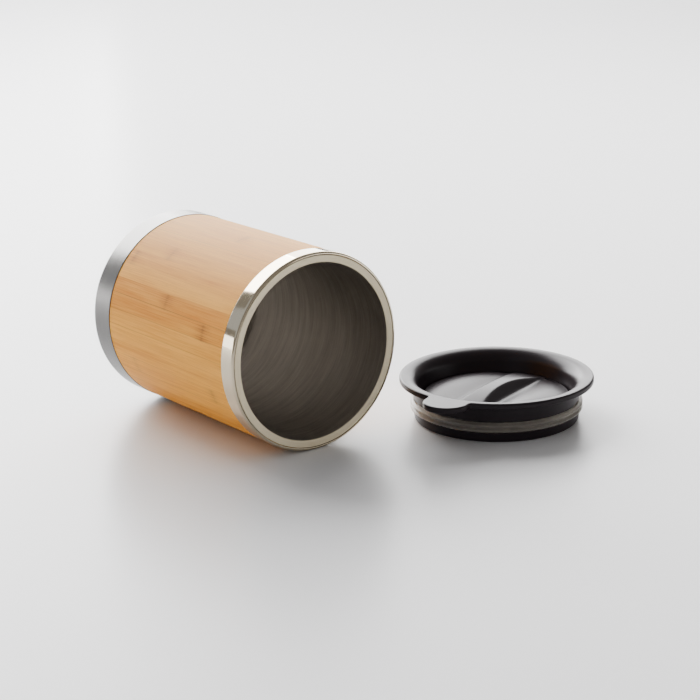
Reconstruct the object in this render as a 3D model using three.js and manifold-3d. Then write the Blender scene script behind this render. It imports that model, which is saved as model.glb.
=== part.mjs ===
// Double-walled steel tumbler with a bamboo sleeve, lying on its side, and its twist lid set down beside it.
// Millimetres, +Z up. The mouth faces -Y, and the origin is on the table under the middle of the set.
import * as THREE from "three";
import { mergeVertices } from "three/addons/utils/BufferGeometryUtils.js";
import Module from "manifold-3d";

const wasm = await Module();
wasm.setup();

// Cup, outside
const cupRadius = 42; // outside of the steel bands
const cupHeight = 107; // base to lip
const baseBandHeight = 13; // steel showing below the sleeve
const collarHeight = 7.8; // steel showing above the sleeve
const bandWall = 0.7; // sheet of the base cup and of the collar
const baseCorner = 1.5; // rounding under the base cup
const bandEdge = 0.3; // broken edge beside the sleeve
const rimRound = 0.8; // rounding around the collar's top
const collarTop = 0.8; // thickness of the collar's top edge and of the liner's lip
const rimEdge = 1.4; // collar's share of the rim, outside the liner's lip
const footWidth = 7; // ring that the cup stands on
const footSlope = 1.5; // run of the step from that ring up to the middle panel
const baseRecess = 1.2; // middle panel above the standing ring

// Cup, wall from the outside in
const sleeveInset = 0.2; // bamboo below the surface of the steel bands
const sleeveThickness = 2;
const tenonLength = 3; // sleeve end that slips inside a steel band
const shellWall = 0.6;
const shellCorner = 3;
const airGap = 0.8; // shell to liner along the side
const bottomGap = 2.5; // shell to liner at the bottom
const linerWall = 0.6;
const linerCorner = 6;
const lipRound = 0.6; // inner edge of the mouth
const fitGap = 0.3; // between pieces that are pressed or glued together

// Lid, plug and flange
const lidHeight = 18.9;
const flangeThickness = 2.5;
const flangeRound = 1; // upper edge of the flange
const flangeBreak = 0.5; // lower edge of the flange
const rimLand = 0.8; // flat ring along the top of the flange
const bellRound = 6.5; // rounding of the flange into the well
const bellSlope = THREE.MathUtils.degToRad(75); // where the rounding runs out into a cone
const plugClearance = 1.8; // plug wall inside the cup's mouth
const plugRound = 1; // lower edge of the plug
const skirtWall = 2; // wall behind the gasket's groove
const grooveRise = 4; // table to the groove
const grooveHeight = 4.9;
const grooveDepth = 1.2;
const lidFloor = 2; // thickness of the well's floor
const tabRadius = 10; // round thumb tab
const tabReach = 1; // its centre beyond the flange's edge
const tabThickness = 2.2;

// Lid, gasket
const gasketClearance = 0.2; // lips inside the cup's mouth
const gasketBody = 0.5; // gasket between its lips, proud of the plug
const lipCount = 2;
const lipTip = 0.6; // thickness of a lip at its edge
const lipSpacing = 0.3; // between two lips at their roots

// Lid, twist disc
const discClearance = 0.8; // disc inside the well
const discLift = 0.4; // disc above the floor
const discEdge = 2.9; // thickness at its rim
const discRound = 1; // rounding of its upper edge
const discRise = 4.5; // dome above the rim
const ribWidth = 5.6; // waist of the grip left between the two finger scoops
const ribSlope = THREE.MathUtils.degToRad(39); // sides of the grip, from level
const ribTurn = THREE.MathUtils.degToRad(-1.5); // grip from the line of the tab, closed
const scoopDepth = 5.4; // from the dome's top to the line of the scoop's floor under the grip's edge
const scoopFillet = 3; // between the scoop's floor and the grip
const scoopSlope = THREE.MathUtils.degToRad(12); // scoop rising away from the grip
const portMargin = 3.5; // disc's edge to its drink opening
const portWidth = 6.5; // drink opening across
const portLength = 13; // and along the rim
const portTurn = THREE.MathUtils.degToRad(60); // from the tab round to the disc's opening, closed
const sealMargin = 1.5; // drink seal beyond the opening it covers
const sealThickness = 0.8;

// Lid, pivot
const postRadius = 4;
const postClearance = 0.3;
const postTip = 1.2; // post below the clip's groove
const postRecess = 0.7; // post's end above the table
const postGroove = 0.9; // depth of the clip's groove
const clipRadius = 8;
const clipThickness = 1.2;
const clipMouth = THREE.MathUtils.degToRad(50); // open side of the clip
const washerRadius = 9;
const washerThickness = 0.8;

// Where the lid lies
const lidForward = 16.7; // ahead of the mouth
const lidAside = 84.3; // to the side of the cup's axis
const lidTurn = THREE.MathUtils.degToRad(199.3); // direction of the thumb tab

// Facets
const roundSegments = 48;
const smallSegments = 28;
const cornerSteps = 3;
const domeSteps = 7;
const overcut = 1; // cutting shapes run past the faces that they open

// Radii of the cup's wall
const sleeveOuter = cupRadius - sleeveInset;
const sleeveInner = sleeveOuter - sleeveThickness;
const tenonRadius = cupRadius - bandWall - fitGap;
const shellOuter = sleeveInner - fitGap;
const shellInner = shellOuter - shellWall;
const linerOuter = shellInner - airGap;
const mouthRadius = linerOuter - linerWall;
const lipRadius = cupRadius - rimEdge;

// Heights up the cup
const sleeveBottom = baseBandHeight + fitGap;
const collarBottom = cupHeight - collarHeight;
const sleeveTop = collarBottom - fitGap;
const panelTop = baseRecess + bandWall;
const shellBottom = panelTop + fitGap;
const shellTop = cupHeight - collarTop - fitGap;
const linerBottom = shellBottom + shellWall + bottomGap;
const linerFloor = linerBottom + linerWall;

// Radii of the lid
const flangeRadius = cupRadius;
const plugRadius = mouthRadius - plugClearance;
const gasketRadius = mouthRadius - gasketClearance;
const grooveRadius = plugRadius - grooveDepth;
const wellRadius = grooveRadius - skirtWall;
const discRadius = wellRadius - discClearance;
const portOffset = discRadius - portMargin - portWidth / 2;
const seatFillet = plugClearance + lipRound; // ends where the flat of the cup's rim starts
const postHole = postRadius + postClearance;

// Heights up the lid
const flangeUnder = lidHeight - flangeThickness;
const clipBottom = postRecess + postTip + fitGap;
const clipTop = clipBottom + clipThickness;
const washerBottom = clipTop + fitGap;
const floorUnder = washerBottom + washerThickness + fitGap;
const floorTop = floorUnder + lidFloor;
const discUnder = floorTop + discLift;
const discShoulder = discUnder + discEdge;
const discTop = discShoulder + discRise;
const sealBottom = floorTop + fitGap;

// Points along an arc of an ellipse, both ends included. Angles are in degrees.
function arc(x, y, radiusX, radiusY, from, to, steps = cornerSteps) {
  return Array.from({ length: steps + 1 }, (_, i) => {
    const angle = THREE.MathUtils.degToRad(from + ((to - from) * i) / steps);
    return [x + radiusX * Math.cos(angle), y + radiusY * Math.sin(angle)];
  });
}

function vectors(points) {
  return points.map(([x, y]) => new THREE.Vector2(x, y));
}

// A profile of [radius, height] points, counterclockwise, turned about +Z. A facet, not an edge, faces -Y.
function turned(profile, segments = roundSegments) {
  const closed = profile[0][0] > 0 ? [...profile, profile[0]] : profile;
  const geometry = new THREE.LatheGeometry(vectors(closed), segments, Math.PI / segments);
  return geometry.rotateX(Math.PI / 2);
}

// An outline of [x, y] points drawn up from one height to another.
function raised(outline, bottom, top) {
  const settings = { depth: top - bottom, bevelEnabled: false };
  return new THREE.ExtrudeGeometry(new THREE.Shape(vectors(outline)), settings).translate(0, 0, bottom);
}

function solid(geometry) {
  const bare = geometry.clone();
  bare.deleteAttribute("normal");
  bare.deleteAttribute("uv");
  const merged = mergeVertices(bare);
  const corners = merged.index.array;
  const triVerts = [];
  for (let i = 0; i < corners.length; i += 3) {
    const [a, b, c] = corners.subarray(i, i + 3);
    if (a !== b && b !== c && c !== a) triVerts.push(a, b, c);
  }
  const vertProperties = merged.attributes.position.array;
  return new wasm.Manifold(
    new wasm.Mesh({ numProp: 3, vertProperties, triVerts: new Uint32Array(triVerts) }),
  );
}

function geometryOf(manifold) {
  const { vertProperties, triVerts } = manifold.getMesh();
  const geometry = new THREE.BufferGeometry();
  geometry.setAttribute("position", new THREE.BufferAttribute(vertProperties, 3));
  geometry.setIndex(new THREE.BufferAttribute(triVerts, 1));
  geometry.computeVertexNormals();
  return geometry;
}

// A slot with round ends, its long side along the rim, at an angle from the tab.
function slot(width, length, bottom, top, angle) {
  const radius = width / 2;
  const straight = length / 2 - radius;
  const outline = [
    ...arc(portOffset, straight, radius, radius, 0, 180, 6),
    ...arc(portOffset, -straight, radius, radius, 180, 360, 6),
  ];
  return raised(outline, bottom, top).rotateZ(angle);
}

// Steel liner: the drinking vessel, its lip turned out over the air gap and the shell's edge.
function innerCup() {
  const corner = linerCorner;
  return turned([
    [0, linerBottom],
    ...arc(linerOuter - corner, linerBottom + corner, corner, corner, -90, 0),
    [linerOuter, cupHeight - collarTop],
    [lipRadius, cupHeight - collarTop],
    [lipRadius, cupHeight],
    ...arc(mouthRadius + lipRound, cupHeight - lipRound, lipRound, lipRound, 90, 180),
    ...arc(mouthRadius - corner, linerFloor + corner, corner, corner, 0, -90),
    [0, linerFloor],
  ]);
}

// Steel can behind the sleeve, closed below, open above.
function outerShell() {
  const inner = shellCorner - shellWall;
  const centre = shellOuter - shellCorner;
  return turned([
    [0, shellBottom],
    ...arc(centre, shellBottom + shellCorner, shellCorner, shellCorner, -90, 0),
    [shellOuter, shellTop],
    [shellInner, shellTop],
    ...arc(centre, shellBottom + shellCorner, inner, inner, 0, -90),
    [0, shellBottom + shellWall],
  ]);
}

// Bamboo tube, stepped at both ends to slip inside the steel bands.
function bambooSleeve() {
  return turned([
    [sleeveInner, sleeveBottom - tenonLength],
    [tenonRadius, sleeveBottom - tenonLength],
    [tenonRadius, sleeveBottom],
    [sleeveOuter - bandEdge, sleeveBottom],
    [sleeveOuter, sleeveBottom + bandEdge],
    [sleeveOuter, sleeveTop - bandEdge],
    [sleeveOuter - bandEdge, sleeveTop],
    [tenonRadius, sleeveTop],
    [tenonRadius, sleeveTop + tenonLength],
    [sleeveInner, sleeveTop + tenonLength],
  ]);
}

// Polished ring over the sleeve's upper end, its top edge turned in to the liner's lip.
function rimCollar() {
  const inner = cupRadius - bandWall;
  return turned([
    [inner, collarBottom],
    [cupRadius - bandEdge, collarBottom],
    [cupRadius, collarBottom + bandEdge],
    ...arc(cupRadius - rimRound, cupHeight - rimRound, rimRound, rimRound, 0, 90),
    [lipRadius + fitGap, cupHeight],
    [lipRadius + fitGap, cupHeight - collarTop],
    [inner, cupHeight - collarTop],
  ]);
}

// Brushed cap around the foot of the cup, with a standing ring and a raised middle panel.
function baseCup() {
  const centre = cupRadius - baseCorner;
  const inner = baseCorner - bandWall;
  const footInner = centre - footWidth;
  return turned([
    [0, baseRecess],
    [footInner - footSlope, baseRecess],
    [footInner, 0],
    ...arc(centre, baseCorner, baseCorner, baseCorner, -90, 0),
    [cupRadius, baseBandHeight - bandEdge],
    [cupRadius - bandEdge, baseBandHeight],
    [cupRadius - bandWall, baseBandHeight],
    ...arc(centre, baseCorner, inner, inner, 0, -90),
    [footInner + bandWall, bandWall],
    [footInner - footSlope + bandWall, panelTop],
    [0, panelTop],
  ]);
}

// Lid body: plug with a gasket groove, a well with a rounded mouth, a flange and a thumb tab.
function lidShell() {
  const landOuter = flangeRadius - flangeRound;
  const landInner = landOuter - rimLand;
  const bellTurn = THREE.MathUtils.radToDeg(bellSlope);
  const bellEnd = landInner - bellRound * Math.sin(bellSlope);
  const bellDrop = bellRound * (1 - Math.cos(bellSlope)) + (bellEnd - wellRadius) * Math.tan(bellSlope);
  const grooveTop = grooveRise + grooveHeight;
  const body = turned([
    [postHole, floorUnder],
    [wellRadius, floorUnder],
    [wellRadius, 0],
    ...arc(plugRadius - plugRound, plugRound, plugRound, plugRound, -90, 0),
    [plugRadius, grooveRise],
    [grooveRadius, grooveRise],
    [grooveRadius, grooveTop],
    [plugRadius, grooveTop],
    ...arc(plugRadius + seatFillet, flangeUnder - seatFillet, seatFillet, seatFillet, 180, 90),
    [flangeRadius - flangeBreak, flangeUnder],
    [flangeRadius, flangeUnder + flangeBreak],
    ...arc(landOuter, lidHeight - flangeRound, flangeRound, flangeRound, 0, 90),
    ...arc(landInner, lidHeight - bellRound, bellRound, bellRound, 90, 90 + bellTurn, 6),
    [wellRadius, lidHeight - bellDrop],
    [wellRadius, floorTop],
    [postHole, floorTop],
  ]);
  const tab = raised(tabOutline(landOuter - rimLand / 2), lidHeight - tabThickness, lidHeight);
  const hole = slot(portWidth, portLength, floorUnder - overcut, floorTop + overcut, Math.PI);
  return geometryOf(solid(body).add(solid(tab)).subtract(solid(hole)));
}

// The tab's round end, closed by an arc along the flange at the given radius.
function tabOutline(rootRadius) {
  const centre = flangeRadius + tabReach;
  const x = (rootRadius ** 2 + centre ** 2 - tabRadius ** 2) / (2 * centre);
  const y = Math.sqrt(rootRadius ** 2 - x ** 2);
  const outer = THREE.MathUtils.radToDeg(Math.atan2(y, x - centre));
  const root = THREE.MathUtils.radToDeg(Math.atan2(y, x));
  return [
    ...arc(centre, 0, tabRadius, tabRadius, -outer, outer, 16),
    ...arc(0, 0, rootRadius, rootRadius, root, -root, 6).slice(1, -1),
  ];
}

// Soft ring in the plug's groove, with a row of sealing lips.
function lidGasket() {
  const bottom = grooveRise + fitGap;
  const top = grooveRise + grooveHeight - fitGap;
  const inner = grooveRadius + fitGap;
  const body = plugRadius + gasketBody;
  const pitch = (top - bottom) / lipCount;
  const root = pitch - lipSpacing;
  const lips = Array.from({ length: lipCount }, (_, i) => {
    const middle = bottom + pitch * (i + 0.5);
    return [
      [body, middle - root / 2],
      [gasketRadius, middle - lipTip / 2],
      [gasketRadius, middle + lipTip / 2],
      [body, middle + root / 2],
    ];
  });
  return turned([[inner, bottom], [body, bottom], ...lips.flat(), [body, top], [inner, top]]);
}

// Cross-section of a finger scoop, from the grip's side outwards, drawn through the disc.
function scoop() {
  const wall = ribWidth / 2;
  const reach = discRadius + overcut;
  const ceiling = discTop + overcut;
  const low = discTop - scoopDepth;
  const fall = Math.tan(ribSlope);
  const rise = Math.tan(scoopSlope);
  const aboveFloor = scoopFillet / Math.cos(scoopSlope);
  const aboveSide = scoopFillet / Math.cos(ribSlope);
  const run = (scoopDepth + aboveSide - aboveFloor) / (fall + rise);
  const centreY = low + run * rise + aboveFloor;
  const sideAngle = 270 - THREE.MathUtils.radToDeg(ribSlope);
  const floorAngle = 270 + THREE.MathUtils.radToDeg(scoopSlope);
  const outline = [
    [wall - overcut / fall, ceiling],
    ...arc(wall + run, centreY, scoopFillet, scoopFillet, sideAngle, floorAngle, 6),
    [wall + (ceiling - low) / rise, ceiling],
  ];
  const axes = new THREE.Matrix4().makeBasis(
    new THREE.Vector3(0, 1, 0),
    new THREE.Vector3(0, 0, 1),
    new THREE.Vector3(1, 0, 0),
  );
  return raised(outline, -reach, reach).applyMatrix4(axes);
}

// Domed disc that turns in the well: two finger scoops leave a grip, and its post runs through the floor.
function twistDisc() {
  const domeEdge = discRadius - discRound;
  const domeRadius = (domeEdge ** 2 + discRise ** 2) / (2 * discRise);
  const span = THREE.MathUtils.radToDeg(Math.asin(domeEdge / domeRadius));
  const dome = arc(0, discTop - domeRadius, domeRadius, domeRadius, 90 - span, 90, domeSteps);
  const grooveBottom = clipBottom - fitGap;
  const grooveTop = clipTop + fitGap;
  const body = turned([
    [0, postRecess],
    [postRadius, postRecess],
    [postRadius, grooveBottom],
    [postRadius - postGroove, grooveBottom],
    [postRadius - postGroove, grooveTop],
    [postRadius, grooveTop],
    [postRadius, discUnder],
    [discRadius, discUnder],
    [discRadius, discShoulder - discRound],
    ...dome.slice(0, -1),
    [0, discTop],
  ]);
  const port = slot(portWidth, portLength, discUnder - overcut, discTop + overcut, portTurn);
  const pocketTop = sealBottom + sealThickness + fitGap;
  const pocketMargin = 2 * (sealMargin + fitGap);
  const pocket = slot(
    portWidth + pocketMargin,
    portLength + pocketMargin,
    discUnder - overcut,
    pocketTop,
    Math.PI,
  );
  return geometryOf(
    solid(body)
      .subtract(solid(scoop().rotateZ(ribTurn)))
      .subtract(solid(scoop().rotateZ(ribTurn + Math.PI)))
      .subtract(solid(port))
      .subtract(solid(pocket)),
  );
}

// Soft pad under the disc that covers the floor's opening while the lid is closed.
function drinkSeal() {
  const margin = 2 * sealMargin;
  return slot(portWidth + margin, portLength + margin, sealBottom, sealBottom + sealThickness, Math.PI);
}

function pivotWasher() {
  const inner = postRadius + postClearance;
  const top = washerBottom + washerThickness;
  const ring = [
    [inner, washerBottom],
    [washerRadius, washerBottom],
    [washerRadius, top],
    [inner, top],
  ];
  return turned(ring, smallSegments);
}

// Open snap ring in the post's groove, which holds the disc down.
function hubClip() {
  const half = THREE.MathUtils.radToDeg(clipMouth / 2);
  const inner = postRadius - postGroove + postClearance;
  const outline = [
    ...arc(0, 0, clipRadius, clipRadius, half, 360 - half, smallSegments),
    ...arc(0, 0, inner, inner, 360 - half, half, smallSegments),
  ];
  return raised(outline, clipBottom, clipTop);
}

const steel = { color: 0xb9b6b0, metalness: 1 };
const plastic = { color: 0x16151a, roughness: 0.42, metalness: 0 };
const silicone = { color: 0xc9bda8, roughness: 0.5, metalness: 0 };

function piece(name, geometry, look) {
  const mesh = new THREE.Mesh(geometry, new THREE.MeshStandardMaterial(look));
  mesh.name = name;
  return mesh;
}

// The cup lies along Y on a facet of its steel bands, its mouth at y = 0.
const cup = new THREE.Group();
cup.add(
  piece("inner_cup", innerCup(), { ...steel, color: 0x8f8a83, roughness: 0.34 }),
  piece("outer_shell", outerShell(), { ...steel, roughness: 0.4 }),
  piece("bamboo_sleeve", bambooSleeve(), { color: 0xd0a26a, roughness: 0.48, metalness: 0 }),
  piece("rim_collar", rimCollar(), { ...steel, roughness: 0.08 }),
  piece("base_cup", baseCup(), { ...steel, roughness: 0.3 }),
);
cup.rotation.x = Math.PI / 2;
cup.position.set(0, cupHeight, cupRadius * Math.cos(Math.PI / roundSegments));

const lid = new THREE.Group();
lid.add(
  piece("lid_shell", lidShell(), plastic),
  piece("lid_gasket", lidGasket(), silicone),
  piece("twist_disc", twistDisc(), plastic),
  piece("drink_seal", drinkSeal(), silicone),
  piece("pivot_washer", pivotWasher(), silicone),
  piece("hub_clip", hubClip(), { ...steel, roughness: 0.35 }),
);
lid.rotation.z = lidTurn;
lid.position.set(lidAside, -lidForward, 0);

const set = new THREE.Group();
set.add(cup, lid);
const middle = new THREE.Box3().setFromObject(set, true).getCenter(new THREE.Vector3());
set.position.set(-middle.x, -middle.y, 0);

const tumbler = new THREE.Group();
tumbler.add(set);

export default tumbler;
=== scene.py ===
"""A bamboo-sleeved steel tumbler lying on its side, with its black twist lid set down beside it."""

import math
import random

import bmesh
import bpy
from mathutils import Matrix, Vector


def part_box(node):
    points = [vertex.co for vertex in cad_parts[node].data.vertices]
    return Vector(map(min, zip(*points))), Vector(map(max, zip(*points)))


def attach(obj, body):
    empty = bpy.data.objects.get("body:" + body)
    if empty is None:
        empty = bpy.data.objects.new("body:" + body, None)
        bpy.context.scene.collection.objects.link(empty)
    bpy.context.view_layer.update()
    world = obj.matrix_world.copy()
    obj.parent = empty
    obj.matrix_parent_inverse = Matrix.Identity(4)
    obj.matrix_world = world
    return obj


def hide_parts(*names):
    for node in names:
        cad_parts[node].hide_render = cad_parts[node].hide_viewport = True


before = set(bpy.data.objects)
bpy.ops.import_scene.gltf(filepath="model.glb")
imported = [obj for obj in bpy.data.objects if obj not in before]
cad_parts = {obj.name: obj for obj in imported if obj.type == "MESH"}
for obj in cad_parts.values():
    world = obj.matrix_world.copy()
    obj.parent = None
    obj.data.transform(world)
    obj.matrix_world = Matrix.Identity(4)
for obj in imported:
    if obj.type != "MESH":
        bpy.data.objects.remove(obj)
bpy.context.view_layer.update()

MM = 0.001


def box_mm(node):
    low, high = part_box(node)
    return low / MM, high / MM


def half_width(node):
    low, high = box_mm(node)
    return (high.y - low.y) / 2


# Cup, read from the frame. Heights run from the base up to the lip, which faces -Y.
collar_low, collar_high = box_mm("rim_collar")
base_low, base_high = box_mm("base_cup")
sleeve_low, sleeve_high = box_mm("bamboo_sleeve")
liner_low, liner_high = box_mm("inner_cup")
CUP_X = (collar_low.x + collar_high.x) / 2
CUP_Z = (collar_low.z + collar_high.z) / 2
CUP_RADIUS = (collar_high.x - collar_low.x) / 2
CUP_HEIGHT = base_high.y - collar_low.y
BAND_HEIGHT = base_high.y - base_low.y
COLLAR_BOTTOM = base_high.y - collar_high.y
SLEEVE_RADIUS = (sleeve_high.x - sleeve_low.x) / 2
LIP_RADIUS = (liner_high.x - liner_low.x) / 2
LINER_BOTTOM = base_high.y - liner_high.y

# Edges that several pieces share
EDGE_FINE = 0.15  # broken inner edges
EDGE_SOFT = 0.25  # outer edges that a finger meets
CORNER_SMALL = 0.2
CORNER_WIDE = 0.6
SHARP = 38  # degrees above which an edge is shaded sharp

# Cup, details
BAND_WALL = 0.7
BASE_CORNER = 1.5
FOOT_WIDTH = 7
FOOT_SLOPE = 1.5
FOOT_FILLET = 1.5
FOOT_ROUND = 1.0
BASE_RECESS = 1.2
BASE_INNER_CORNER = 0.8
BASE_INNER_FOLD = 0.5
RIM_ROUND = 1.0
COLLAR_TOP = 0.8
LIP_JOINT = 0.25  # dark line between the liner's lip and the collar
LIP_WIDTH = 3.1
LIP_ROUND = 0.6
LINER_WALL = 0.6
LINER_CORNER = 6
SLEEVE_WALL = 2
SLEEVE_ROUND = 0.3
SLEEVE_STEPS = 120
TENON = 2.5
SLEEVE_JOINT = 0.15  # dark hairline at either end of the sleeve
STEEL_SEAM = 159.5  # angle of the lengthwise seam, from +X towards +Z

# Bamboo strips
STRIPS = 38
STRIP_FACETS = 8
STRIP_SEED = 11
STRIP_TONES = (0.4, 0.85)  # from dark to pale
SEAM_TONE = 0.3  # the strips on either side of the seam are darker
JOINT_LINE = 0.9  # half width of the dark line across a joint in the cane
JOINT_SHARES = (0.8, 0.6)  # strength of a joint's soft patch and of its line
STRIP_PITCH = 360 / STRIPS
FIBRES = 16  # per strip
FIBRE_TONE = 0.42  # how far fibres and bands lighten or darken a strip
BAND_TONE = 0.18
SEAM_WIDTH = 0.03  # of a strip

# Lid, read from the frame
gasket_low, gasket_high = box_mm("lid_gasket")
disc_low, disc_high = box_mm("twist_disc")
seal_low, seal_high = box_mm("drink_seal")
washer_low, washer_high = box_mm("pivot_washer")
clip_low, clip_high = box_mm("hub_clip")
LID_X = (gasket_low.x + gasket_high.x) / 2
LID_Y = (gasket_low.y + gasket_high.y) / 2
LID_HEIGHT = box_mm("lid_shell")[1].z
FLANGE_RADIUS = half_width("lid_shell")
GASKET_RADIUS = half_width("lid_gasket")
DISC_RADIUS = half_width("twist_disc")
DISC_TOP = disc_high.z
POST_END = disc_low.z

# Lid, details
LID_TURN = math.radians(199.3)  # direction of the thumb tab
FIT_GAP = 0.3
FLANGE_THICKNESS = 2.5
FLANGE_ROUND = 1.0
FLANGE_BREAK = 0.5
RIM_LAND = 0.8
UNDERSIDE_INSET = 1.2  # where the flange's underside turns into its edge
BELL_ROUND = 6.5
BELL_SLOPE = 75  # degrees, where the roll runs out into the well's cone
BELL_FOOT = 1.0
TAB_RADIUS = 10
TAB_REACH = 1
TAB_FILLET = 1.2
GASKET_CLEARANCE = 1.6  # plug's wall inside the gasket's lips
PLUG_ROUND = 1.0
PLUG_INNER_ROUND = 0.3
GROOVE_DEPTH = 1.2
SEAT_FILLET = 2.4
WELL_GAP = 0.8
LIP_COUNT = 2
LIP_ROOT = 1.1  # gasket's lips beyond its body
LIP_TIP = 0.6
LIP_SPREAD = 0.42  # half width of a lip's root, per pitch
LIP_FILLET = 0.12
DISC_LIFT = 0.4
DISC_EDGE = 2.9
DISC_ROUND = 1.0
SHOULDER_DROP = 0.15  # from the dome's edge to the disc's side
POST_ROUND = 0.4
RIB_WIDTH = 5.6
RIB_TURN = math.radians(-1.5)
RIB_SLOPE = math.radians(39)  # sides of the grip, from level
SCOOP_DEPTH = 5.4
SCOOP_FILLET = 3
SCOOP_SLOPE = math.radians(12)
CREASE = 0.5  # softening of the grip's upper edges
BLEND = 2.4  # softening where a scoop runs out on the dome
SCOOP_RUN = 10  # over which the one grows into the other
CREASE_REACH = 0.6  # closer grid lines on either side of the grip's edge
BLEND_REACH = 1.5  # and of the scoop's far edge
PATCH_RADIUS = 30  # disc's top is gridded along the grip inside this radius
PORT_MARGIN = 3.5
PORT_WIDTH = 6.5
PORT_LENGTH = 13
PORT_TURN = math.radians(60)  # disc's opening at rest, from the tab
HOLE_TURN = math.pi  # lid's drink hole, across from the tab
CUT_PAST = 1  # cutters stand out of the faces that they open
SEAL_MARGIN = 1.5
POST_RADIUS = 4
POST_GROOVE = 0.9
POST_CLEARANCE = 0.3
CLIP_RADIUS = 8
CLIP_MOUTH = 50
WASHER_RADIUS = 9

# Radii and heights that follow
MOUTH_RADIUS = LIP_RADIUS - LIP_WIDTH
PLUG_RADIUS = GASKET_RADIUS - GASKET_CLEARANCE
GROOVE_RADIUS = PLUG_RADIUS - GROOVE_DEPTH
WELL_RADIUS = DISC_RADIUS + WELL_GAP
PORT_OFFSET = DISC_RADIUS - PORT_MARGIN - PORT_WIDTH / 2
FLOOR_UNDER = washer_high.z + FIT_GAP
FLOOR_TOP = seal_low.z - FIT_GAP
DISC_UNDER = FLOOR_TOP + DISC_LIFT
DISC_SHOULDER = DISC_UNDER + DISC_EDGE
DOME_EDGE = DISC_RADIUS - DISC_ROUND
DISC_RISE = DISC_TOP - DISC_SHOULDER
DOME_RADIUS = (DOME_EDGE ** 2 + DISC_RISE ** 2) / (2 * DISC_RISE)

# Colours, in linear light
BAMBOO_DARK = (0.69, 0.265, 0.042, 1)
BAMBOO_PALE = (0.93, 0.49, 0.115, 1)
PORE_BROWN = (0.36, 0.16, 0.05, 1)
JOINT_BROWN = (0.30, 0.10, 0.024, 1)
SEAM_BROWN = (0.25, 0.10, 0.028, 1)
BAND_STEEL = (0.24, 0.235, 0.23)
POLISHED_STEEL = (0.62, 0.55, 0.43)
SHELL_STEEL = (0.60, 0.59, 0.57)
CLIP_STEEL = (0.55, 0.54, 0.53)
BORE_DARK = (0.54, 0.514, 0.485, 1)
BORE_PALE = (0.90, 0.865, 0.82, 1)
LIP_DARK = (0.92, 0.81, 0.59, 1)
LIP_PALE = (1.0, 0.90, 0.68, 1)
PLASTIC_DARK = (0.020, 0.0145, 0.018, 1)
PLASTIC_PALE = (0.031, 0.0225, 0.028, 1)
SILICONE_DARK = (0.66, 0.62, 0.56, 1)
SILICONE_PALE = (0.80, 0.755, 0.69, 1)
FLOOR_WHITE = (0.82, 0.82, 0.83, 1)
STUDIO_GREY = (0.31, 0.30, 0.29, 1)
WHITE_LIGHT = (1, 1, 1)
COOL_LIGHT = (0.80, 0.93, 1.1)

# Studio, in metres
FLOOR_HALF = 6.0
WALL_AWAY = 2.0
FILL_AWAY = 2.2
WALL_MIDDLE = 1.45
WALL_TALL = 2.5
WATTS = 4  # per square metre of a panel, for a radiance of one

# Camera
CAMERA_PLACE = (-482.5, -616.9, 265.3)
CAMERA_TURN = -37.68
CAMERA_DROP = 16.79
CAMERA_ROLL = -1.18
CAMERA_LENS = 96.8
SENSOR = 36

# Facets
SEGMENTS = 288
DISC_STEP = 1.5  # degrees between the columns of the disc's grid
FINE = 5  # steps around a rounded edge
EDGE_STEPS = 8  # around the flange's upper edge
BELL_STEPS = 20
TAB_STEPS = 20
FILLET_STEPS = 6
FLANGE_STEPS = 220
SLOT_STEPS = 16
DOME_STEPS = 4
CLIP_STEPS = 72
WASHER_SEGMENTS = 96
SEARCH_STEPS = 400  # along a line across the grip

CUP_PLACE = Matrix(
    ((1, 0, 0, CUP_X), (0, 0, -1, base_high.y), (0, 1, 0, CUP_Z), (0, 0, 0, 1))
)
LID_PLACE = Matrix.Translation((LID_X, LID_Y, 0)) @ Matrix.Rotation(LID_TURN, 4, "Z")
TO_METRES = Matrix.Scale(MM, 4)


# Outlines

def arc(x, y, radius_x, radius_y, start, end, steps=FINE):
    """Points along an arc of an ellipse, both ends included. Angles are in degrees."""
    angles = [math.radians(start + (end - start) * i / steps) for i in range(steps + 1)]
    return [(x + radius_x * math.cos(a), y + radius_y * math.sin(a)) for a in angles]


def rounded(corners, closed=True, steps=FINE):
    """Corners are (x, y) or (x, y, radius): each radius becomes an arc that meets both sides."""
    points = []
    count = len(corners)
    for i, corner in enumerate(corners):
        here = Vector(corner[:2])
        at_end = not closed and i in (0, count - 1)
        if len(corner) < 3 or at_end:
            points.append(tuple(here))
            continue
        to_last = (Vector(corners[i - 1][:2]) - here).normalized()
        to_next = (Vector(corners[(i + 1) % count][:2]) - here).normalized()
        half = to_last.angle(to_next) / 2
        middle = here + (to_last + to_next).normalized() * corner[2] / math.sin(half)
        first = here + to_last * corner[2] / math.tan(half) - middle
        last = here + to_next * corner[2] / math.tan(half) - middle
        turn = math.atan2(first.x * last.y - first.y * last.x, first.dot(last))
        for k in range(steps + 1):
            spoke = Matrix.Rotation(turn * k / steps, 2) @ first
            points.append(tuple(middle + spoke))
    return points


def slot_outline(margin, angle):
    """The drink opening, widened all around by a margin, at an angle from the tab."""
    radius = PORT_WIDTH / 2 + margin
    straight = (PORT_LENGTH - PORT_WIDTH) / 2
    outline = arc(PORT_OFFSET, straight, radius, radius, 0, 180, SLOT_STEPS)
    outline += arc(PORT_OFFSET, -straight, radius, radius, 180, 360, SLOT_STEPS)
    turn = Matrix.Rotation(angle, 2)
    return [tuple(turn @ Vector(p)) for p in outline]


# Meshes

def new_object(name, mesh):
    piece = bpy.data.objects.new(name, mesh)
    bpy.context.scene.collection.objects.link(piece)
    return piece


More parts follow.
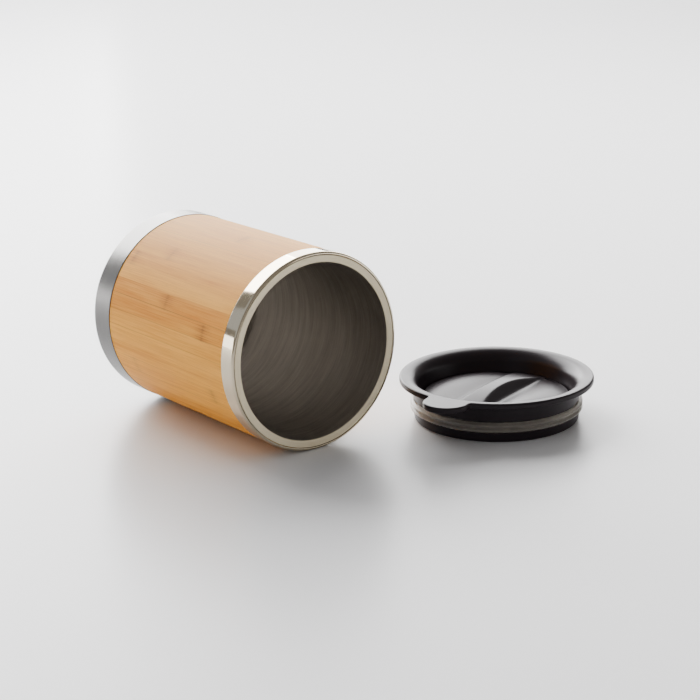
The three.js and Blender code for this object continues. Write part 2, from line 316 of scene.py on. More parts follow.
def finished(name, bm, place):
    """Turns a bmesh in millimetres into an object in the frame, smooth but for its sharp edges."""
    bmesh.ops.remove_doubles(bm, verts=bm.verts, dist=1e-5)
    bmesh.ops.recalc_face_normals(bm, faces=bm.faces)
    bm.transform(TO_METRES @ place)
    mesh = bpy.data.meshes.new(name)
    bm.to_mesh(mesh)
    bm.free()
    mesh.shade_smooth()
    mesh.set_sharp_from_angle(angle=math.radians(SHARP))
    return new_object(name, mesh)


def even_normals(piece):
    """Lets the broad faces set the shading, so that rounded edges stay narrow."""
    weighted = piece.modifiers.new("even_normals", "WEIGHTED_NORMAL")
    weighted.keep_sharp = True
    return piece


def grid_faces(bm, rows, closed_rows=True, closed_columns=True, wrap=None):
    """Quads between rows of vertices. wrap gives each corner its turns around and its way along."""
    uv = bm.loops.layers.uv.new("Wrap") if wrap else None
    height, width = len(rows), len(rows[0])
    for j in range(height if closed_rows else height - 1):
        for i in range(width if closed_columns else width - 1):
            spots = ((j, i), (j, i + 1), (j + 1, i + 1), (j + 1, i))
            face = bm.faces.new([rows[a % height][b % width] for a, b in spots])
            if uv:
                for loop, (a, b) in zip(face.loops, spots):
                    loop[uv].uv = (b / width, wrap[a])


def rings(bm, profile, angles):
    """A row of vertices about +Z for each (radius, height) point of a profile."""
    return [
        [bm.verts.new((r * math.cos(a), r * math.sin(a), h)) for a in angles] for r, h in profile
    ]


def turned(bm, profile, segments=SEGMENTS, start=0.0, closed=True):
    """A profile of (radius, height) points turned about +Z, from an angle in degrees."""
    first = math.radians(start)
    angles = [first + math.tau * i / segments for i in range(segments)]
    rows = rings(bm, profile, angles)
    along = [0.0]
    for p, q in zip(profile, profile[1:] + profile[:1]):
        along.append(along[-1] + math.dist(p, q))
    grid_faces(bm, rows, closed_rows=closed, wrap=along)


def turned_piece(name, profile, place, **settings):
    bm = bmesh.new()
    turned(bm, profile, **settings)
    return even_normals(finished(name, bm, place))


def raised(bm, outline, bottom, top):
    """An outline drawn up from one height to another, closed at both ends."""
    lower = [bm.verts.new((x, y, bottom)) for x, y in outline]
    upper = [bm.verts.new((x, y, top)) for x, y in outline]
    grid_faces(bm, [lower, upper], closed_rows=False)
    bm.faces.new(lower)
    bm.faces.new(upper)


def raised_piece(name, outline, bottom, top, place):
    bm = bmesh.new()
    raised(bm, outline, bottom, top)
    return finished(name, bm, place)


def cut(piece, *cutters):
    """Takes the cutters' space out of a piece and removes them."""
    for cutter in cutters:
        boolean = piece.modifiers.new("cut", "BOOLEAN")
        boolean.operation = "DIFFERENCE"
        boolean.solver = "EXACT"
        boolean.object = cutter
    graph = bpy.context.evaluated_depsgraph_get()
    mesh = bpy.data.meshes.new_from_object(piece.evaluated_get(graph))
    piece.modifiers.clear()
    piece.data = mesh
    mesh.set_sharp_from_angle(angle=math.radians(SHARP))
    for cutter in cutters:
        bpy.data.objects.remove(cutter)
    return piece


# Cup pieces

def base_piece():
    inner = CUP_RADIUS - BAND_WALL
    foot = CUP_RADIUS - BASE_CORNER - FOOT_WIDTH
    panel = BASE_RECESS + BAND_WALL
    profile = rounded([
        (0, BASE_RECESS),
        (foot - FOOT_SLOPE, BASE_RECESS, FOOT_FILLET),
        (foot, 0, FOOT_ROUND),
        (CUP_RADIUS, 0, BASE_CORNER),
        (CUP_RADIUS, BAND_HEIGHT, EDGE_SOFT),
        (inner, BAND_HEIGHT, EDGE_FINE),
        (inner, BAND_WALL, BASE_INNER_CORNER),
        (foot + BAND_WALL, BAND_WALL, BASE_INNER_FOLD),
        (foot - FOOT_SLOPE + BAND_WALL, panel, BASE_INNER_FOLD),
        (0, panel),
    ])
    return turned_piece("brushed_base", profile, CUP_PLACE, start=-90, closed=False)


def sleeve_piece():
    inner = SLEEVE_RADIUS - SLEEVE_WALL
    tenon = CUP_RADIUS - BAND_WALL - FIT_GAP
    bottom = BAND_HEIGHT + SLEEVE_JOINT
    top = COLLAR_BOTTOM - SLEEVE_JOINT
    lower = [(inner, bottom - TENON), (tenon, bottom - TENON), (tenon, bottom)]
    lower.append((SLEEVE_RADIUS, bottom, SLEEVE_ROUND))
    step = (top - bottom) / SLEEVE_STEPS
    side = [(SLEEVE_RADIUS, bottom + step * i) for i in range(1, SLEEVE_STEPS)]
    upper = [(SLEEVE_RADIUS, top, SLEEVE_ROUND)]
    upper += [(tenon, top), (tenon, top + TENON), (inner, top + TENON)]
    profile = rounded(lower + side + upper)
    return turned_piece(
        "bamboo_tube", profile, CUP_PLACE, segments=STRIPS * STRIP_FACETS, start=STEEL_SEAM - 360
    )


def collar_piece():
    inner = CUP_RADIUS - BAND_WALL
    joint = LIP_RADIUS + LIP_JOINT
    profile = rounded([
        (inner, COLLAR_BOTTOM, EDGE_FINE),
        (CUP_RADIUS, COLLAR_BOTTOM, EDGE_SOFT),
        (CUP_RADIUS, CUP_HEIGHT, RIM_ROUND),
        (joint, CUP_HEIGHT, EDGE_FINE),
        (joint, CUP_HEIGHT - COLLAR_TOP),
        (inner, CUP_HEIGHT - COLLAR_TOP, CORNER_SMALL),
    ])
    return turned_piece("polished_collar", profile, CUP_PLACE, start=-90)


def liner_piece():
    outer = MOUTH_RADIUS + LINER_WALL
    profile = rounded([
        (0, LINER_BOTTOM),
        (outer, LINER_BOTTOM, LINER_CORNER),
        (outer, CUP_HEIGHT - COLLAR_TOP),
        (LIP_RADIUS, CUP_HEIGHT - COLLAR_TOP),
        (LIP_RADIUS, CUP_HEIGHT, CORNER_SMALL),
        (MOUTH_RADIUS, CUP_HEIGHT, LIP_ROUND),
        (MOUTH_RADIUS, LINER_BOTTOM + LINER_WALL, LINER_CORNER),
        (0, LINER_BOTTOM + LINER_WALL),
    ])
    return turned_piece("steel_liner", profile, CUP_PLACE, start=-90, closed=False)


# Lid pieces

def edge_outline(inset):
    """Plan of the flange and its tab, drawn in by inset, with soft inner corners where they meet."""
    reach = FLANGE_RADIUS + TAB_REACH
    far = FLANGE_RADIUS + TAB_FILLET
    near = TAB_RADIUS + TAB_FILLET
    x = (far ** 2 + reach ** 2 - near ** 2) / (2 * reach)
    y = math.sqrt(far ** 2 - x ** 2)
    tab_angle = math.degrees(math.atan2(y, x - reach))
    root_angle = math.degrees(math.atan2(y, x))
    tab = TAB_RADIUS - inset
    fillet = TAB_FILLET + inset
    flange = FLANGE_RADIUS - inset
    return (
        arc(reach, 0, tab, tab, 0, tab_angle, TAB_STEPS)[:-1]
        + arc(x, y, fillet, fillet, 180 + tab_angle, 180 + root_angle, FILLET_STEPS)[:-1]
        + arc(0, 0, flange, flange, root_angle, 360 - root_angle, FLANGE_STEPS)[:-1]
        + arc(x, -y, fillet, fillet, 180 - root_angle, 180 - tab_angle, FILLET_STEPS)[:-1]
        + arc(reach, 0, tab, tab, -tab_angle, 0, TAB_STEPS)[:-1]
    )


def plug_outline(hole, under):
    """The lid's underside, from the post's hole over plug and groove out to the flange."""
    groove_bottom = gasket_low.z - FIT_GAP
    groove_top = gasket_high.z + FIT_GAP
    return rounded([
        (hole, FLOOR_UNDER),
        (WELL_RADIUS, FLOOR_UNDER, CORNER_WIDE),
        (WELL_RADIUS, 0, PLUG_INNER_ROUND),
        (PLUG_RADIUS, 0, PLUG_ROUND),
        (PLUG_RADIUS, groove_bottom, CORNER_SMALL),
        (GROOVE_RADIUS, groove_bottom),
        (GROOVE_RADIUS, groove_top),
        (PLUG_RADIUS, groove_top, CORNER_SMALL),
        (PLUG_RADIUS, under, SEAT_FILLET),
        (FLANGE_RADIUS - UNDERSIDE_INSET, under),
    ], closed=False)


def flange_edge(under):
    """(inset, height) points around the flange's edge, from its underside to its top."""
    lower = arc(FLANGE_BREAK, under + FLANGE_BREAK, FLANGE_BREAK, FLANGE_BREAK, 270, 180)
    middle = LID_HEIGHT - FLANGE_ROUND
    return lower + arc(FLANGE_ROUND, middle, FLANGE_ROUND, FLANGE_ROUND, 180, 90, EDGE_STEPS)


def well_outline(hole):
    """From the flange's top down the roll into the well, and over its floor to the post's hole."""
    land = FLANGE_RADIUS - FLANGE_ROUND - RIM_LAND
    middle = LID_HEIGHT - BELL_ROUND
    bell = arc(land, middle, BELL_ROUND, BELL_ROUND, 90, 90 + BELL_SLOPE, BELL_STEPS)
    radius, height = bell[-1]
    foot = height - (radius - WELL_RADIUS) * math.tan(math.radians(BELL_SLOPE))
    well = rounded([
        bell[-1],
        (WELL_RADIUS, foot, BELL_FOOT),
        (WELL_RADIUS, FLOOR_TOP, CORNER_WIDE),
        (hole, FLOOR_TOP),
    ], closed=False)
    return bell + well[1:]


def slot_cutter(name, margin, angle, bottom, top):
    return raised_piece(name, slot_outline(margin, angle), bottom, top, LID_PLACE)


def lid_piece():
    hole = POST_RADIUS + POST_CLEARANCE
    under = LID_HEIGHT - FLANGE_THICKNESS
    angles = [math.atan2(y, x) for x, y in edge_outline(FLANGE_ROUND)]
    bm = bmesh.new()
    rows = rings(bm, plug_outline(hole, under), angles)
    for inset, height in flange_edge(under):
        rows.append([bm.verts.new((x, y, height)) for x, y in edge_outline(inset)])
    rows += rings(bm, well_outline(hole), angles)
    grid_faces(bm, rows)
    body = finished("lid_body", bm, LID_PLACE)
    bottom, top = FLOOR_UNDER - CUT_PAST, FLOOR_TOP + CUT_PAST
    return even_normals(cut(body, slot_cutter("drink_hole", 0, HOLE_TURN, bottom, top)))


def gasket_piece():
    inner = GROOVE_RADIUS + FIT_GAP
    body = GASKET_RADIUS - LIP_ROOT
    bottom, top = gasket_low.z, gasket_high.z
    pitch = (top - bottom) / LIP_COUNT
    corners = [(inner, bottom, EDGE_FINE), (body, bottom, EDGE_FINE)]
    for i in range(LIP_COUNT):
        middle = bottom + pitch * (i + 0.5)
        corners += [
            (body, middle - pitch * LIP_SPREAD, LIP_FILLET),
            (GASKET_RADIUS, middle - LIP_TIP / 2, EDGE_SOFT),
            (GASKET_RADIUS, middle + LIP_TIP / 2, EDGE_SOFT),
            (body, middle + pitch * LIP_SPREAD, LIP_FILLET),
        ]
    corners += [(body, top, EDGE_FINE), (inner, top, EDGE_FINE)]
    return turned_piece("gasket_ring", rounded(corners), LID_PLACE, start=180)


def scoop_height(n):
    """Height of a finger scoop's surface at a distance from the grip's middle line."""
    wall = RIB_WIDTH / 2
    low = DISC_TOP - SCOOP_DEPTH
    fall, rise = math.tan(RIB_SLOPE), math.tan(SCOOP_SLOPE)
    above = SCOOP_FILLET / math.cos(SCOOP_SLOPE)
    centre = wall + (SCOOP_DEPTH + SCOOP_FILLET / math.cos(RIB_SLOPE) - above) / (fall + rise)
    level = low + (centre - wall) * rise + above
    if n < centre - SCOOP_FILLET * math.sin(RIB_SLOPE):
        return DISC_TOP - (n - wall) * fall
    if n < centre + SCOOP_FILLET * math.sin(SCOOP_SLOPE):
        return level - math.sqrt(SCOOP_FILLET ** 2 - (n - centre) ** 2)
    return low + (n - wall) * rise


def dome_height(t, n):
    return DISC_TOP - DOME_RADIUS + math.sqrt(DOME_RADIUS ** 2 - t * t - n * n)


def disc_height(t, n):
    """The lower of dome and scoop, with the crease between them softened."""
    dome, scoop = dome_height(t, n), scoop_height(n)
    away = min(max((n - RIB_WIDTH / 2) / SCOOP_RUN, 0), 1)
    soft = CREASE + (BLEND - CREASE) * away
    overlap = max(soft - abs(dome - scoop), 0) / soft
    return min(dome, scoop) - overlap ** 2 * soft / 4


def crossings(t, reach):
    """Where a line across the grip enters and leaves a scoop; one place twice where it meets none."""
    step = (PATCH_RADIUS - RIB_WIDTH / 2) / SEARCH_STEPS
    places = [RIB_WIDTH / 2 - 1 + step * i for i in range(SEARCH_STEPS)]
    depth = [dome_height(t, n) - scoop_height(n) for n in places]
    inside = [n for n, d in zip(places, depth) if d > 0]
    deepest = min(places[depth.index(max(depth))], 0.6 * reach)
    return (inside[0], inside[-1]) if inside and inside[-1] < reach else (deepest, deepest)


def spaced(start, end, count, power=1.0):
    """Places from start up to, but without, end. A higher power draws them in towards start."""
    return [start + (end - start) * (i / count) ** power for i in range(count)]


def section_places(t, reach):
    """Distances from the grip's middle line at which a line across it is drawn, closer at the creases."""
    enter, leave = crossings(t, reach)
    quarter = (leave - enter) / 4
    inner = min(CREASE_REACH, quarter)
    outer = min(BLEND_REACH, quarter, (reach - leave) / 2)
    places = spaced(0, enter - inner, 6)
    places += spaced(enter - inner, enter + inner, 8)
    places += spaced(enter + inner, leave - outer, 14, 1.6)
    places += spaced(leave - outer, leave + outer, 6)
    places += spaced(leave + outer, reach, 5)
    return places + [reach]


def disc_grid(bm, columns):
    """The disc's top, gridded along the grip so that its creases stay clean."""
    rows = []
    for i in range(columns + 1):
        angle = math.radians(-90 + DISC_STEP * i)
        t, reach = PATCH_RADIUS * math.sin(angle), PATCH_RADIUS * math.cos(angle)
        half = section_places(t, reach)
        across = [-n for n in reversed(half[1:])] + half
        rows.append([bm.verts.new((t, n, disc_height(t, abs(n)))) for n in across])
    grid_faces(bm, rows, closed_rows=False, closed_columns=False)


def disc_outline():
    """From the grid's edge over the disc's rim, and underneath in to the end of the post."""
    start = math.degrees(math.asin(PATCH_RADIUS / DOME_RADIUS))
    end = math.degrees(math.asin(DOME_EDGE / DOME_RADIUS))
    middle = DISC_TOP - DOME_RADIUS
    dome = arc(0, middle, DOME_RADIUS, DOME_RADIUS, 90 - start, 90 - end, DOME_STEPS)
    neck = POST_RADIUS - POST_GROOVE
    return dome[:-1] + rounded([
        dome[-1],
        (DISC_RADIUS, DISC_SHOULDER - SHOULDER_DROP, CORNER_WIDE),
        (DISC_RADIUS, DISC_UNDER, CORNER_SMALL),
        (POST_RADIUS, DISC_UNDER, POST_ROUND),
        (POST_RADIUS, clip_high.z + FIT_GAP, EDGE_FINE),
        (neck, clip_high.z + FIT_GAP),
        (neck, clip_low.z - FIT_GAP),
        (POST_RADIUS, clip_low.z - FIT_GAP, EDGE_FINE),
        (POST_RADIUS, POST_END, POST_ROUND),
        (0, POST_END),
    ], closed=False)


def disc_piece():
    bm = bmesh.new()
    columns = round(180 / DISC_STEP)
    disc_grid(bm, columns)
    turned(bm, disc_outline(), segments=2 * columns, closed=False)
    disc = finished("grip_disc", bm, LID_PLACE @ Matrix.Rotation(RIB_TURN, 4, "Z"))
    bottom = DISC_UNDER - CUT_PAST
    port = slot_cutter("disc_port", 0, PORT_TURN, bottom, DISC_TOP)
    around_seal = SEAL_MARGIN + FIT_GAP
    pocket = slot_cutter("seal_pocket", around_seal, HOLE_TURN, bottom, seal_high.z + FIT_GAP)
    return cut(disc, port, pocket)


def softened(piece, width):
    bevel = piece.modifiers.new("soft_edges", "BEVEL")
    bevel.width = width * MM
    bevel.segments = 3
    bevel.limit_method = "ANGLE"
    return even_normals(piece)


def seal_piece():
    outline = slot_outline(SEAL_MARGIN, HOLE_TURN)
    return softened(raised_piece("seal_pad", outline, seal_low.z, seal_high.z, LID_PLACE), CORNER_SMALL)


def washer_piece():
    inner = POST_RADIUS + POST_CLEARANCE
    corners = [
        (inner, washer_low.z, EDGE_FINE),
        (WASHER_RADIUS, washer_low.z, EDGE_SOFT),
        (WASHER_RADIUS, washer_high.z, EDGE_SOFT),
        (inner, washer_high.z, EDGE_FINE),
    ]
    return turned_piece("slip_washer", rounded(corners), LID_PLACE, segments=WASHER_SEGMENTS)


def clip_piece():
    inner = POST_RADIUS - POST_GROOVE + POST_CLEARANCE
    half = CLIP_MOUTH / 2
    outline = arc(0, 0, CLIP_RADIUS, CLIP_RADIUS, half, 360 - half, CLIP_STEPS)
    outline += arc(0, 0, inner, inner, 360 - half, half, CLIP_STEPS)
    return softened(raised_piece("snap_ring", outline, clip_low.z, clip_high.z, LID_PLACE), EDGE_FINE)


# Materials

class Look:
    """A material under way: short names for the shader nodes that the finishes share."""

    def __init__(self, name, **values):
        self.material = bpy.data.materials.new(name)
        self.material.use_nodes = True
        self.tree = self.material.node_tree
        self.shader = self.tree.nodes["Principled BSDF"]
        for socket, value in values.items():
            self.shader.inputs[socket.replace("_", " ")].default_value = value

    def node(self, kind, inputs=(), **settings):
        made = self.tree.nodes.new("ShaderNode" + kind)
        for key, value in settings.items():
            setattr(made, key, value)
        for key, value in dict(inputs).items():
            self.put(made.inputs[key], value)
        return made

    def put(self, socket, value):
        if isinstance(value, bpy.types.NodeSocket):
            self.tree.links.new(value, socket)
        else:
            socket.default_value = value

    def set(self, socket, value):
        self.put(self.shader.inputs[socket], value)

    def math(self, operation, a, b=0.0, c=0.0, clamp=False):
        return self.node("Math", {0: a, 1: b, 2: c}, operation=operation, use_clamp=clamp).outputs[0]

    def noise(self, vector, scale=1.0, detail=3.0, roughness=0.55):
        inputs = {"Vector": vector, "Scale": scale, "Detail": detail, "Roughness": roughness}
        return self.node("TexNoise", inputs).outputs["Fac"]

    def random(self, value):
        return self.node("TexWhiteNoise", {"W": value}, noise_dimensions="1D").outputs["Value"]

    def span(self, value, low, high, to_low=0.0, to_high=1.0, smooth=False):
        inputs = {"Value": value, "From Min": low, "From Max": high, "To Min": to_low, "To Max": to_high}
        kind = "SMOOTHSTEP" if smooth else "LINEAR"
        return self.node("MapRange", inputs, interpolation_type=kind).outputs["Result"]

    def mix(self, share, a, b):
        made = self.node("Mix", data_type="RGBA")
        self.put(made.inputs["Factor"], share)
        self.put(made.inputs[6], a)
        self.put(made.inputs[7], b)
        return made.outputs[2]

    def vector(self, x, y, z):
        return self.node("CombineXYZ", {0: x, 1: y, 2: z}).outputs[0]

    def attribute(self, name):
        return self.node("Attribute", attribute_name=name).outputs["Fac"]

    def place(self):
        """Where a point is on its own piece, in metres."""
        return self.node("TexCoord").outputs["Object"]

    def wrap(self):
        """Turns around a turned piece, and millimetres along its profile."""
        uv = self.node("UVMap", uv_map="Wrap").outputs["UV"]
        parts = self.node("SeparateXYZ", {0: uv})
        return parts.outputs["X"], parts.outputs["Y"]

    def around(self, reach, pitch):
        """A seamless vector for marks that run around a piece: reach wide, pitch per millimetre along."""
        turns, along = self.wrap()
        angle = self.math("MULTIPLY", turns, math.tau)
        x = self.math("MULTIPLY", self.math("COSINE", angle), reach)
        y = self.math("MULTIPLY", self.math("SINE", angle), reach)
        return self.vector(x, y, self.math("MULTIPLY", along, pitch))

    def bump(self, height, depth, strength=1.0):
        inputs = {"Height": height, "Distance": depth * MM, "Strength": strength}
        self.set("Normal", self.node("Bump", inputs).outputs["Normal"])

    def brushing(self, pitch):
        """Fine marks around a piece, and the same marks over broader clouds, from 0 to 1."""
        fine = self.noise(self.around(2.5, pitch), 1.0, 3.0, 0.7)
        broad = self.noise(self.around(1.2, 0.35), 1.0, 2.0)
        mixed = self.math("ADD", self.math("MULTIPLY", fine, 0.7), self.math("MULTIPLY", broad, 0.3))
        return fine, self.span(mixed, 0.3, 0.7)

    def stretch(self):
        """Stretches reflections across the brushing, which runs around the piece."""
        self.set("Tangent", self.node("Tangent", direction_type="UV_MAP", uv_map="Wrap").outputs[0])


def darker(colour, share):
    return (*[channel * share for channel in colour], 1)


def bamboo_grain(look, strips, along):
    """Fibres, broader bands and pores along the strips, different in each."""
    shift = look.math("MULTIPLY", look.random(look.math("FLOOR", strips)), 90)
    fibre_x = look.math("ADD", look.math("MULTIPLY", strips, FIBRES), shift)
    band_x = look.math("MULTIPLY", strips, 2.2)
    pore_x = look.math("MULTIPLY", fibre_x, 3.0)
    fibres = look.noise(look.vector(fibre_x, look.math("MULTIPLY", along, 0.035), shift), 1.0, 4.0, 0.6)
    bands = look.noise(look.vector(band_x, look.math("MULTIPLY", along, 0.02), shift), 1.0, 2.0)
    pores = look.noise(look.vector(pore_x, look.math("MULTIPLY", along, 0.3), shift), 1.0, 1.0)
    return fibres, bands, pores


def strip_seams(look, strips):
    """A fine line between each two strips, some fainter than others, and strongest at the first."""
    across = look.math("FRACT", strips)
    edge = look.math("MINIMUM", across, look.math("SUBTRACT", 1.0, across))
    line = look.math("ROUND", strips)
    first = look.math("COMPARE", look.math("MODULO", line, STRIPS), 0.0, 0.1)
    faint = look.span(look.random(look.math("ADD", line, 0.5)), 0.2, 1.0, 0.0, 0.4)
    strength = look.math("MAXIMUM", faint, look.math("MULTIPLY", first, 0.6))
    return look.math("MULTIPLY", look.span(edge, 0.0, SEAM_WIDTH, 1.0, 0.0, smooth=True), strength)


def bamboo_look():
    """Laminated strips, each with its own tone, grain and joints in the cane."""
    look = Look("bamboo", Specular_IOR_Level=0.22)
    turns, along = look.wrap()
    strips = look.math("MULTIPLY", turns, STRIPS)
    fibres, bands, pores = bamboo_grain(look, strips, along)
    seam = strip_seams(look, strips)
    shade = look.math("ADD", look.attribute("tone"), look.span(fibres, 0.3, 0.7, -FIBRE_TONE, FIBRE_TONE))
    shade = look.math("ADD", shade, look.span(bands, 0.3, 0.7, -BAND_TONE, BAND_TONE), clamp=True)
    ramp = look.node("ValToRGB", {0: shade})
    stops = ramp.color_ramp.elements
    stops[0].color = BAMBOO_DARK
    stops[1].color = BAMBOO_PALE
    speckled = look.mix(look.span(pores, 0.62, 0.75, 0.0, 0.25), ramp.outputs[0], PORE_BROWN)
    knot = look.math("MULTIPLY", look.attribute("mark"), look.span(fibres, 0.3, 0.66, 1.0, 0.2))
    knotted = look.mix(knot, speckled, JOINT_BROWN)
    look.set("Base Color", look.mix(seam, knotted, SEAM_BROWN))
    look.set("Roughness", look.span(fibres, 0.2, 0.8, 0.46, 0.6))
    relief = look.math("SUBTRACT", look.math("MULTIPLY", fibres, 0.6), seam)
    look.bump(relief, 0.06, 0.5)
    return look.material


def band_look():
    """Steel brushed around the foot."""
    look = Look("band_steel", Metallic=1.0, Anisotropic=0.75, Specular_Tint=(0.85, 0.85, 0.85, 1))
    fine, marks = look.brushing(6.0)
    look.set("Base Color", look.mix(marks, darker(BAND_STEEL, 0.85), (*BAND_STEEL, 1)))
    look.set("Roughness", look.span(marks, 0.0, 1.0, 0.19, 0.29))
    look.bump(fine, 0.006, 0.4)
    look.stretch()
    return look.material


def polished_look():
    """Steel polished to a mirror, with faint marks from turning."""
    look = Look("polished_steel", Metallic=1.0)
    _, marks = look.brushing(2.0)
    look.set("Base Color", look.mix(marks, darker(POLISHED_STEEL, 0.95), (*POLISHED_STEEL, 1)))
    look.set("Roughness", look.span(marks, 0.0, 1.0, 0.05, 0.11))
    return look.material


def sheet_look(name, colour, roughness):
    """Plain rolled steel, faintly clouded."""
    look = Look(name, Metallic=1.0)
    cloud = look.span(look.noise(look.place(), 220, 3.0), 0.3, 0.7)
    look.set("Base Color", look.mix(cloud, darker(colour, 0.85), (*colour, 1)))
    look.set("Roughness", look.span(cloud, 0.0, 1.0, roughness - 0.05, roughness + 0.05))
    return look.material


def liner_look():
    """Brushed bore, darker than the paler lip that is ground flat."""
    look = Look("liner_steel", Anisotropic=0.6)
    lip = look.attribute("lip")
    fine, marks = look.brushing(6.0)
    bore = look.mix(marks, BORE_DARK, BORE_PALE)
    ground = look.mix(marks, LIP_DARK, LIP_PALE)
    look.set("Base Color", look.mix(lip, bore, ground))
    look.set("Metallic", look.span(lip, 0.0, 1.0, 1.0, 0.15))
    rough = look.span(marks, 0.0, 1.0, 0.32, 0.44)
    look.set("Roughness", look.math("ADD", rough, look.math("MULTIPLY", lip, 0.1)))
    look.bump(fine, 0.015, 0.4)
    look.stretch()
    return look.material


def plastic_look():
    """Satin black, with the fine grain of a mould."""
    look = Look("black_plastic", Specular_IOR_Level=0.32)
    place = look.place()
    grain = look.noise(place, 2600, 2.0)
    cloud = look.noise(place, 55, 3.0)
    shade = look.math("ADD", look.math("MULTIPLY", grain, 0.4), look.math("MULTIPLY", cloud, 0.6))
    look.set("Base Color", look.mix(shade, PLASTIC_DARK, PLASTIC_PALE))
    look.set("Roughness", look.span(shade, 0.3, 0.7, 0.28, 0.36))
    look.bump(grain, 0.02, 0.25)
    return look.material


def silicone_look():
    """Milky and translucent."""
    look = Look("silicone", Transmission_Weight=0.72, IOR=1.41)
    cloud = look.noise(look.place(), 160, 3.0)
    look.set("Base Color", look.mix(cloud, SILICONE_DARK, SILICONE_PALE))
    look.set("Roughness", look.span(cloud, 0.3, 0.7, 0.3, 0.38))
    look.bump(cloud, 0.02, 0.2)
    return look.material


# Joints in the cane, each one strip wide: (angle, height, length, strength)
CANE_JOINTS = (
    (126.5, 40, 9, 0.35),
    (136.0, 18, 7, 0.45),
    (154.8, 54, 10, 0.55),
    (164.3, 84, 9, 0.8),
    (202.0, 29, 6, 0.25),
    (202.0, 88, 8, 0.5),
    (98.0, 66, 8, 0.4),
    (60.0, 30, 9, 0.5),
    (31.6, 71, 8, 0.6),
    (12.6, 47, 9, 0.45),
    (-25.0, 24, 8, 0.6),
    (231.0, 55, 8, 0.5),
)


def joint_mark(angle, height):
    """How dark the joints in the cane make a place on the sleeve."""
    soft, fine = JOINT_SHARES
    value = 0.0
    for middle, level, length, strength in CANE_JOINTS:
        off = (angle - middle + 180) % 360 - 180
        if abs(off) < STRIP_PITCH / 2:
            away = abs(height - level)
            patch = math.exp(-(away / (length / 2)) ** 2)
            line = math.exp(-(away / JOINT_LINE) ** 2)
            value = max(value, strength * (soft * patch + fine * line))
    return value


def cup_angle(place):
    """Degrees around the cup's axis, from +X towards +Z."""
    return math.degrees(math.atan2(place.z / MM - CUP_Z, place.x / MM - CUP_X))


def mark_strips(sleeve):
    """Gives each strip its tone, and the joints in the cane their places, as attributes of the mesh."""
    mesh = sleeve.data
    draw = random.Random(STRIP_SEED)
    tones = [draw.uniform(*STRIP_TONES) for _ in range(STRIPS)]
    tones[0] = tones[-1] = SEAM_TONE
    tone = mesh.attributes.new("tone", "FLOAT", "FACE")
    for face in mesh.polygons:
        turn = (cup_angle(face.center) - STEEL_SEAM) % 360
        tone.data[face.index].value = tones[int(turn / STRIP_PITCH)]
    mark = mesh.attributes.new("mark", "FLOAT", "POINT")
    for vertex in mesh.vertices:
        height = base_high.y - vertex.co.y / MM
        mark.data[vertex.index].value = joint_mark(cup_angle(vertex.co), height)


def mark_lip(liner):
    """Tells the ground lip from the bore, as an attribute of the mesh."""
    lip = liner.data.attributes.new("lip", "FLOAT", "POINT")
    for vertex in liner.data.vertices:
        height = base_high.y - vertex.co.y / MM
        lip.data[vertex.index].value = float(height > CUP_HEIGHT - LIP_ROUND / 2)


def dress(piece, look, body, slot, *nodes):
    """Puts a finished piece on its body in place of its plain solids."""
    piece.data.materials.clear()
    piece.data.materials.append(look)
    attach(piece, body)
    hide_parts(*nodes)
    return piece


bamboo = bamboo_look()
band_steel = band_look()
polished_steel = polished_look()
liner_steel = liner_look()
shell_steel = sheet_look("shell_steel", SHELL_STEEL, 0.40)
clip_steel = sheet_look("clip_steel", CLIP_STEEL, 0.32)
plastic = plastic_look()
silicone = silicone_look()

sleeve = dress(sleeve_piece(), bamboo, "cup", "bamboo", "bamboo_sleeve")
mark_strips(sleeve)
dress(base_piece(), band_steel, "cup", "band_steel", "base_cup")
dress(collar_piece(), polished_steel, "cup", "polished_steel", "rim_collar")
liner = dress(liner_piece(), liner_steel, "cup", "liner_steel", "inner_cup")
mark_lip(liner)
dress(lid_piece(), plastic, "lid", "black_plastic", "lid_shell")
dress(gasket_piece(), silicone, "lid", "silicone", "lid_gasket")
dress(washer_piece(), silicone, "lid", "silicone", "pivot_washer")
dress(disc_piece(), plastic, "disc", "black_plastic", "twist_disc")
dress(seal_piece(), silicone, "disc", "silicone", "drink_seal")
dress(clip_piece(), clip_steel, "disc", "clip_steel", "hub_clip")
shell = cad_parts["outer_shell"]
shell.data.materials.clear()
shell.data.materials.append(shell_steel)


# Camera, floor and light

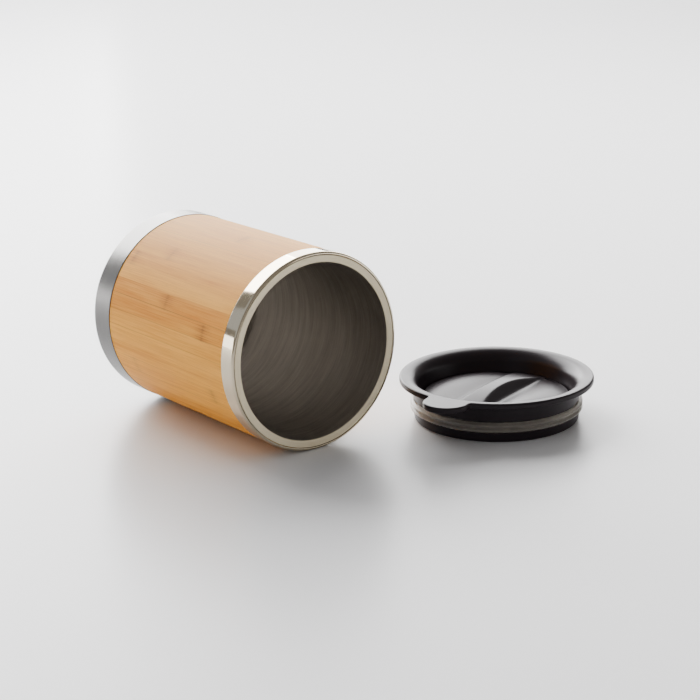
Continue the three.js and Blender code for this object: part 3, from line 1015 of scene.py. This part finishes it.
def make_camera():
    data = bpy.data.cameras.new("camera")
    data.lens = CAMERA_LENS
    data.sensor_width = SENSOR
    camera = new_object("camera", data)
    turn = Matrix.Rotation(math.radians(CAMERA_TURN), 4, "Z")
    tilt = Matrix.Rotation(math.radians(90 - CAMERA_DROP), 4, "X")
    roll = Matrix.Rotation(math.radians(CAMERA_ROLL), 4, "Z")
    camera.matrix_world = Matrix.Translation(Vector(CAMERA_PLACE) * MM) @ turn @ tilt @ roll
    bpy.context.scene.camera = camera


def make_floor():
    far = FLOOR_HALF
    mesh = bpy.data.meshes.new("floor")
    corners = [(-far, -far, 0), (far, -far, 0), (far, far, 0), (-far, far, 0)]
    mesh.from_pydata(corners, [], [(0, 1, 2, 3)])
    floor = new_object("floor", mesh)
    look = Look("floor", Base_Color=FLOOR_WHITE, Roughness=0.3, Specular_IOR_Level=0.25)
    mesh.materials.append(look.material)


def towards(turn, distance, height):
    """A place around the object, turned from +Y towards +X, in metres."""
    turn = math.radians(turn)
    return Vector((distance * math.sin(turn), distance * math.cos(turn), height))


def panel(name, place, size, radiance, colour=WHITE_LIGHT):
    """An upright soft panel of light that faces the middle, unseen by the camera itself."""
    data = bpy.data.lights.new(name, "AREA")
    data.shape = "RECTANGLE"
    data.size, data.size_y = size
    data.energy = radiance * size[0] * size[1] * WATTS
    data.color = colour
    light = new_object(name, data)
    light.location = place
    inward = Vector((0, 0, place.z)) - place
    light.rotation_euler = inward.to_track_quat("-Z", "Y").to_euler()
    light.visible_camera = False


def make_light():
    """A bright wall behind the object in two panels, a low card on the left and two weak fills."""
    panel("back_wall", towards(4.5, WALL_AWAY, WALL_MIDDLE), (1.74, WALL_TALL), 6.7)
    panel("back_wall_right", towards(45.5, WALL_AWAY, WALL_MIDDLE), (1.34, WALL_TALL), 3.8)
    panel("left_card", towards(-46, WALL_AWAY, 0.14), (1.96, 0.28), 2.4)
    panel("right_fill", towards(128, FILL_AWAY, 0.25), (2.0, 0.5), 1.2)
    panel("left_fill", towards(-75, FILL_AWAY, 1.8), (4.4, 2.4), 0.25, COOL_LIGHT)
    world = bpy.data.worlds.new("studio")
    world.use_nodes = True
    world.node_tree.nodes["Background"].inputs["Color"].default_value = STUDIO_GREY
    bpy.context.scene.world = world


make_camera()
make_floor()
make_light()
bpy.context.scene.view_settings.view_transform = "AgX"
bpy.context.scene.view_settings.look = "AgX - Medium High Contrast"
